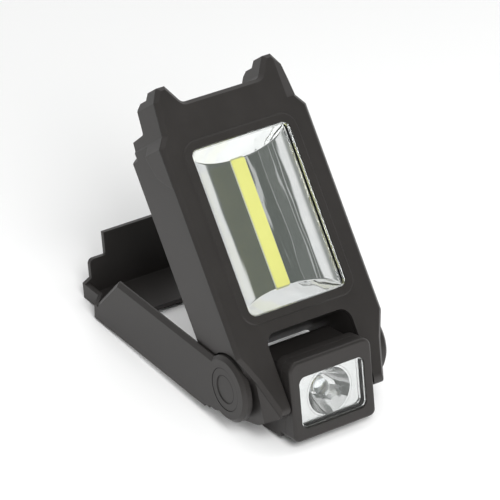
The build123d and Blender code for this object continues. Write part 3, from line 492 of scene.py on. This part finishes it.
def makeTray():  # a wide trough with slanted flat ends, behind the long window
    low, high = localBox("area_reflector", caseFrame)
    stripHigh = localBox("led_strip", caseFrame)[1]
    reach = (high.x - low.x) / 2 - tray["mouthInset"]
    deep = high.z - stripHigh.z + tray["floorBelow"]
    middle = (high.y + low.y) / 2
    # half its oval section, as points from the mouth to the middle
    turns = [pi / 2 * number / tray["steps"] for number in range(tray["steps"] + 1)]
    steps = [(reach * cos(turn), high.z - deep * sin(turn)) for turn in turns]
    clearSelection()
    bpy.ops.mesh.primitive_plane_add(size=1 * mm, location=(reach, low.y - tray["overrun"], high.z))
    piece = begun("reflectorTray")
    edit(piece)
    bpy.ops.mesh.select_mode(type="VERT")
    bpy.ops.mesh.select_all(action="SELECT")
    bpy.ops.mesh.merge(type="CENTER")
    for start, end in zip(steps, steps[1:]):
        bpy.ops.mesh.extrude_vertices_move(
            TRANSFORM_OT_translate={"value": (end[0] - start[0], 0, end[1] - start[1])})
    bpy.ops.mesh.select_all(action="SELECT")
    bpy.ops.mesh.extrude_edges_move(
        TRANSFORM_OT_translate={"value": (0, high.y - low.y + 2 * tray["overrun"], 0)})
    bpy.ops.object.mode_set(mode="OBJECT")
    shape(piece, "MIRROR", use_axis=(True, False, False), use_clip=True, merge_threshold=0.01 * mm)
    edit(piece)
    half = (high.y - low.y) / 2 - tray["endInset"]
    for side in (1, -1):
        bpy.ops.mesh.select_all(action="SELECT")
        slant = Vector((0, side * deep, -tray["slope"])).normalized()
        bpy.ops.mesh.bisect(plane_co=(0, middle + side * half, high.z), plane_no=slant,
                            threshold=0.001 * mm, clear_outer=True)
    for side in (1, -1):
        pick(piece, lambda edge: edge.is_boundary and side * (edge.verts[0].co.y - middle) > 0
             and abs(edge.verts[0].co.y - edge.verts[1].co.y) < half, "edges")
        bpy.ops.mesh.edge_face_add()
    pick(piece, lambda edge: len(edge.link_faces) == 2
         and any(len(face.verts) > 6 for face in edge.link_faces), "edges")
    bpy.ops.mesh.bevel(offset=tray["crease"], segments=3, affect="EDGES", clamp_overlap=True)
    # flat rim behind the window's edge
    pick(piece, lambda edge: edge.is_boundary
         and all(v.co.z > high.z - tray["rimBand"] for v in edge.verts), "edges")
    bpy.ops.mesh.extrude_edges_move()
    bpy.ops.transform.resize(value=((high.x - low.x) / 2 / reach, (high.y - low.y) / 2 / half, 1),
                             center_override=(0, middle, high.z))
    bpy.ops.mesh.select_all(action="SELECT")
    bpy.ops.mesh.normals_make_consistent(inside=False)
    bpy.ops.object.mode_set(mode="OBJECT")
    if max(piece.data.polygons, key=lambda face: face.area).normal.z < 0:
        edit(piece)
        bpy.ops.mesh.select_all(action="SELECT")
        bpy.ops.mesh.flip_normals()
        bpy.ops.object.mode_set(mode="OBJECT")
    shape(piece, "SOLIDIFY", thickness=tray["wall"], offset=-1)
    return settle(piece, caseFrame, trayChrome, "case", "area_reflector", 22)


strip = {
    "dam": 0.18 * mm,        # pale border that holds the gel
    "damBelow": 0.12 * mm,   # its top below the strip's face
    "damRound": 1.0 * mm,
    "damEdge": 0.2 * mm,
    "gelRound": 0.7 * mm,
    "gelEdge": 0.3 * mm,
    "crown": 0.15 * mm,      # gel's top above the strip's face
}


def makeStrip():
    low, high = localBox("led_strip", caseFrame)
    border = Vector((strip["dam"], strip["dam"], 0))
    dam = block("stripDam", low - border, high + border - Vector((0, 0, strip["damBelow"])))
    roundEdges(dam, upright, strip["damRound"], 6)
    roundEdges(dam, atHeight(high.z - strip["damBelow"]), strip["damEdge"], 3)
    settle(dam, caseFrame, damWhite, "case", "led_strip")
    gel = block("stripGel", low, high + Vector((0, 0, strip["crown"])))
    roundEdges(gel, upright, strip["gelRound"], 6)
    roundEdges(gel, atHeight(high.z + strip["crown"]), strip["gelEdge"], 4)
    settle(gel, caseFrame, stripYellow, "case")


window = {
    "cornerSegments": 8,
    "rimSegments": 3,
    "gap": 0.03 * mm,        # between the flange and what it lies on
    # the flange's thickness and width, then the pane's corner and edge
    "area": (0.8 * mm, 1.4 * mm, 2.6 * mm, 0.5 * mm),
    "lamp": (1.2 * mm, 1.2 * mm, 2.45 * mm, 0.3 * mm),
}


def makeWindow(name, node, place, body, flange, lap, corner, rim):
    # clear cover: a raised pane with round corners on a thin square flange
    low, high = localBox(node, place)
    seat = low.z + flange
    inset = Vector((lap, lap, 0))
    pane = block(name, (low.x + lap, low.y + lap, seat), high - inset)
    roundEdges(pane, upright, corner, window["cornerSegments"])
    roundEdges(pane, atHeight(high.z), rim, window["rimSegments"])
    pick(pane, lambda face: face.normal.z < -0.99)
    centre, size = (low + high) / 2, high - low
    bpy.ops.mesh.extrude_region_move()
    bpy.ops.transform.resize(value=(size.x / (size.x - 2 * lap), size.y / (size.y - 2 * lap), 1),
                             center_override=(centre.x, centre.y, seat))
    bpy.ops.mesh.extrude_region_move(TRANSFORM_OT_translate={"value": (0, 0, window["gap"] - flange)})
    bpy.ops.object.mode_set(mode="OBJECT")
    dress(pane, windowClear)
    pane.data.materials.append(windowEdge)
    for face in pane.data.polygons:
        face.material_index = 0 if abs(face.normal.z) > 0.99 else 1
    return settle(pane, place, None, body, node, 40)


bezel = {
    "topRound": 4.0 * mm,
    "lowRound": 2.4 * mm,
    "rim": 1.15 * mm,
    "lip": 1.4 * mm,
    "opening": (13.8 * mm, 9.85 * mm),      # half width and half height
    "openingMiddle": -4.0 * mm,
    "openingRound": 2.6 * mm,
    "pocketLap": 1.2 * mm,
    "topFall": 0.41 * mm,
    "innerEdge": 0.2 * mm,
    "slack": 0.1 * mm,       # for finding edges near a place
    "overcut": 1 * mm,       # cutters reach this far past the frame
}


def makeBezel():  # square frame round the spot lamp's window
    low, high = localBox("lamp_frame", lampFrame)
    piece = block("lampBezel", low, high)
    roundEdges(piece, lambda e: upright(e) and e.verts[0].co.y > 0, bezel["topRound"], 10)
    roundEdges(piece, lambda e: upright(e) and e.verts[0].co.y < 0, bezel["lowRound"], 8)
    slack, over = bezel["slack"], bezel["overcut"]
    pick(piece, lambda v: v.co.z < low.z + slack
         and v.co.y > high.y - bezel["topRound"] - slack, "verts")
    bpy.ops.transform.translate(value=(0, -bezel["topFall"], 0))
    bpy.ops.object.mode_set(mode="OBJECT")
    roundEdges(piece, atHeight(high.z), bezel["rim"], 6)
    wide, tall = bezel["opening"]
    middle, lap = bezel["openingMiddle"], bezel["pocketLap"]
    opening = block("cutter", (-wide, middle - tall, low.z - over), (wide, middle + tall, high.z + over))
    roundEdges(opening, upright, bezel["openingRound"], 8)
    carve(piece, opening)
    pocket = block("cutter", (-wide - lap, middle - tall - lap, low.z - over),
                   (wide + lap, middle + tall + lap, high.z - bezel["lip"]))
    carve(piece, pocket)
    roundEdges(piece, lambda e: atHeight(high.z)(e) and all(
        abs(v.co.x) < wide + slack and abs(v.co.y - middle) < tall + slack for v in e.verts),
        bezel["innerEdge"], 3)
    settle(piece, lampFrame, lampBlack, "lamp", "lamp_frame")


cup = {
    "sides": 72,
    "rings": 12,
    "rim": 0.7 * mm,
    "throat": 3.1 * mm,
    "wall": 0.5 * mm,
    "domeRadius": 2.95 * mm,
    "domeDepth": 5.3 * mm,   # its centre behind the cup's mouth
    "domeCut": 1.2 * mm,     # and its flat back behind its centre
    "depthShare": 0.94,      # of the room, down to the throat
}


def makeCup():  # parabolic cup with a clear dome in its throat
    low, high = localBox("lamp_optic", lampFrame)
    radius, depth = (high.x - low.x) / 2, high.z - low.z
    middle = Vector((0, (high.y + low.y) / 2, high.z))
    clearSelection()
    bpy.ops.mesh.primitive_circle_add(vertices=cup["sides"], radius=radius, location=middle)
    piece = begun("lampCup")
    edit(piece)
    bpy.ops.mesh.select_mode(type="EDGE")
    bpy.ops.mesh.select_all(action="SELECT")
    inner = radius - cup["rim"]
    bpy.ops.mesh.extrude_edges_move()
    bpy.ops.transform.resize(value=(inner / radius, inner / radius, 1), center_override=middle)
    last, lastDepth = inner, 0.0
    for ring in range(1, cup["rings"] + 1):
        wide = inner + (cup["throat"] - inner) * ring / cup["rings"]
        deep = depth * cup["depthShare"] * (1 - ((wide - cup["throat"]) / (inner - cup["throat"])) ** 2)
        bpy.ops.mesh.extrude_edges_move(TRANSFORM_OT_translate={"value": (0, 0, lastDepth - deep)})
        bpy.ops.transform.resize(value=(wide / last, wide / last, 1),
                                 center_override=(middle.x, middle.y, middle.z - deep))
        last, lastDepth = wide, deep
    bpy.ops.mesh.select_all(action="SELECT")
    bpy.ops.mesh.normals_make_consistent(inside=False)
    bpy.ops.object.mode_set(mode="OBJECT")
    if max(piece.data.polygons, key=lambda face: face.center.z).normal.z < 0:
        edit(piece)
        bpy.ops.mesh.select_all(action="SELECT")
        bpy.ops.mesh.flip_normals()
        bpy.ops.object.mode_set(mode="OBJECT")
    shape(piece, "SOLIDIFY", thickness=cup["wall"], offset=-1)
    settle(piece, lampFrame, cupChrome, "lamp", "lamp_optic", 35)

    clearSelection()
    centre = middle - Vector((0, 0, cup["domeDepth"]))
    bpy.ops.mesh.primitive_uv_sphere_add(segments=40, ring_count=20, radius=cup["domeRadius"],
                                         location=centre)
    dome = begun("lampDome")
    edit(dome)
    bpy.ops.mesh.select_all(action="SELECT")
    bpy.ops.mesh.bisect(plane_co=centre - Vector((0, 0, cup["domeCut"])), plane_no=(0, 0, 1),
                        clear_inner=True, use_fill=True)
    bpy.ops.object.mode_set(mode="OBJECT")
    settle(dome, lampFrame, domeClear, "lamp", angle=40)


makeTray()
makeStrip()
makeWindow("areaWindow", "area_lens", caseFrame, "case", *window["area"])
print("area light modelled")
makeBezel()
makeCup()
makeWindow("lampWindow", "lamp_lens", lampFrame, "lamp", *window["lamp"])
print("spot lamp modelled")

button = {
    "flange": 0.8 * mm,
    "flangeWidth": 1.0 * mm,
    "edge": 0.5 * mm,        # rounding of its face
    "ring": 1.0 * mm,        # groove, from the face's edge
    "ringHalf": 0.25 * mm,
    "ringDepth": 0.25 * mm,
}


def makeButton():  # soft round button on the back, its face at the low end of Z
    low, high = localBox("push_button", caseFrame)
    flange = (high.x - low.x) / 2
    radius = flange - button["flangeWidth"]
    seat = high.z - button["flange"]
    centre = Vector(((low.x + high.x) / 2, (low.y + high.y) / 2, seat))
    piece = disc("buttonCap", centre - Vector((0, 0, (seat - low.z) / 2)), radius, seat - low.z, 56)
    roundEdges(piece, atHeight(low.z), button["edge"], 5)
    pick(piece, lambda face: face.normal.z < -0.99)
    bpy.ops.mesh.inset(thickness=button["ring"], depth=0)
    bpy.ops.mesh.inset(thickness=button["ringHalf"], depth=-button["ringDepth"])
    bpy.ops.mesh.inset(thickness=button["ringHalf"], depth=button["ringDepth"])
    pick(piece, lambda face: face.normal.z > 0.99)
    bpy.ops.mesh.extrude_region_move()
    bpy.ops.transform.resize(value=(flange / radius, flange / radius, 1), center_override=centre)
    bpy.ops.mesh.extrude_region_move(TRANSFORM_OT_translate={"value": (0, 0, button["flange"])})
    bpy.ops.object.mode_set(mode="OBJECT")
    settle(piece, caseFrame, buttonRubber, "button", "push_button", 40)


screw = {
    "caseHead": 1.5 * mm,
    "doorHead": 0.8 * mm,
    "shank": 1.0 * mm,
    "headRound": 0.14,       # these four are shares of the head's radius or height
    "crossReach": 0.60,
    "crossHalf": 0.15,
    "crossDepth": 0.6,
}


def makeScrew(name, radius, thick, length):  # its face at Z 0
    piece = disc(name, (0, 0, thick / 2), radius, thick, 40)
    roundEdges(piece, atHeight(0), radius * screw["headRound"], 4)
    reach, half = radius * screw["crossReach"], radius * screw["crossHalf"]
    for wide, tall in ((reach, half), (half, reach)):
        carve(piece, block("cutter", (-wide, -tall, -1 * mm), (wide, tall, thick * screw["crossDepth"])))
    pick(piece, lambda face: face.normal.z > 0.99 and face.calc_center_median().z > thick * 0.9)
    bpy.ops.mesh.extrude_region_move()
    bpy.ops.transform.resize(value=(screw["shank"] / radius, screw["shank"] / radius, 1),
                             center_override=(0, 0, thick))
    bpy.ops.mesh.extrude_region_move(TRANSFORM_OT_translate={"value": (0, 0, length - thick)})
    bpy.ops.object.mode_set(mode="OBJECT")
    return piece


def placeScrews(names, thick):  # one is modelled and copied to each node's place
    low, high = localBox(names[0], caseFrame)
    model = makeScrew("screwModel", (high.x - low.x) / 2, thick, high.z - low.z)
    for name in names:
        low, high = localBox(name, caseFrame)
        activate(model)
        bpy.ops.object.duplicate()
        piece = bpy.context.object
        piece.name = piece.data.name = name.replace("_", "") + "Head"
        piece.data.transform(Matrix.Translation(((low.x + high.x) / 2, (low.y + high.y) / 2, low.z)))
        settle(piece, caseFrame, screwSteel, "case", name)
    bpy.data.objects.remove(model)


makeButton()
placeScrews([f"case_screw_{number}" for number in (1, 2, 3, 4)], screw["caseHead"])
placeScrews(["door_screw"], screw["doorHead"])
print("button and screws modelled")

studio = {
    "floor": (0.95, 0.95, 0.95),
    "sky": 1.0,
    "left": 0.25,                # dimmer to the left
    "flagDark": 0.15,            # dark flag at the front right, mirrored by the tray's floor
    "flagFrom": -0.10,
    "flagTo": 0.80,
    "flagStart": 0.05,           # how softly it starts
    "flagEnd": (0.04, 0.02),     # and ends, before and after flagTo
    "flagAhead": (0.1, 0.25),    # it fades in between these, ahead
    "leftBand": (-0.75, -0.35),  # dimmest and full brightness, across
    # across the flag: middle, half width, how pale
    "stripes": ((0.42, 0.012, 0.60), (0.30, 0.006, 0.50), (0.11, 0.007, 0.50), (0.01, 0.008, 0.60)),
    "key": {"place": (-0.12, -0.45, 0.45), "power": 3.3, "width": 0.3, "height": 0.3},
    "rim": {"place": (0.6, -0.1, 0.35), "power": 0.4, "width": 0.15, "height": 0.5},
}


def makeStage():
    clearSelection()
    bpy.ops.mesh.primitive_plane_add(size=6, location=(0, 0, -0.2 * mm))
    floor = begun("floor")
    finish = Finish("floorPale")
    finish.principled({"Base Color": studio["floor"], "Roughness": 0.9})
    dress(floor, finish.material)
    world = bpy.data.worlds.new("studio")
    bpy.context.scene.world = world
    world.use_nodes = True
    finish = Finish(tree=world.node_tree)
    background = world.node_tree.nodes["Background"]
    ray = finish.node("ShaderNodeTexCoord", output="Generated")
    aside = finish.along(ray, (1, 0, 0), (0, 0, 0))
    ahead = finish.along(ray, (0, -1, 0), (0, 0, 0)).eased(*studio["flagAhead"])
    start, end = studio["flagFrom"], studio["flagTo"]
    before, after = studio["flagEnd"]
    opening = aside.eased(start, start + studio["flagStart"])
    flag = opening * (1 - aside.eased(end - before, end + after)) * ahead
    for middle, half, pale in studio["stripes"]:  # paler strips in the flag
        flag = flag * (1 - (1 - (aside - middle).size().eased(half * 0.6, half * 1.5)) * pale)
    dim = (1 - aside.eased(*studio["leftBand"])) * (1 - studio["left"])
    level = (flag + dim).clamped()
    dark = tuple(studio["flagDark"] * c for c in (0.98, 1.06, 0.98))
    colour = finish.blend(level, (studio["sky"],) * 3, dark)
    world.node_tree.links.new(colour.socket, background.inputs["Color"])
    background.inputs["Strength"].default_value = 1.0


def softbox(name, place, power, width, height, aim=Vector((0, 0, 0.05))):
    clearSelection()
    bpy.ops.object.light_add(type="AREA", location=place)
    light = bpy.context.object
    light.name = name
    light.data.shape = "RECTANGLE"
    light.data.size, light.data.size_y = width, height
    light.data.energy = power
    light.visible_glossy = False  # the chrome mirrors the sky, not the lamps
    light.rotation_mode = "QUATERNION"
    light.rotation_quaternion = (aim - Vector(place)).to_track_quat("-Z", "Y")


makeStage()
softbox("keyLight", **studio["key"])
softbox("rimLight", **studio["rim"])
bpy.context.scene.view_settings.view_transform = "Standard"

camera = {
    "target": (1.36 * mm, -6.74 * mm, 47.0 * mm),
    "distance": 1.2545,
    "azimuth": -35.0,
    "elevation": 31.98,
    "roll": 1.56,
    "lens": 253.2,
    "sensor": 36,
    "clip": (0.01, 20),
}


def makeCamera():
    turn, rise = radians(camera["azimuth"]), radians(camera["elevation"])
    back = Vector((sin(turn) * cos(rise), -cos(turn) * cos(rise), sin(rise)))
    bpy.ops.object.camera_add(location=Vector(camera["target"]) + back * camera["distance"])
    eye = bpy.context.object
    eye.name = "mainCamera"
    eye.rotation_mode = "QUATERNION"
    straight = (-back).to_track_quat("-Z", "Y")
    eye.rotation_quaternion = Matrix.Rotation(radians(camera["roll"]), 3, back).to_quaternion() @ straight
    eye.data.lens = camera["lens"]
    eye.data.sensor_width = camera["sensor"]
    eye.data.clip_start, eye.data.clip_end = camera["clip"]
    bpy.context.scene.camera = eye


makeCamera()
print("stage, lights and camera set")

bpy.context.view_layer.update()
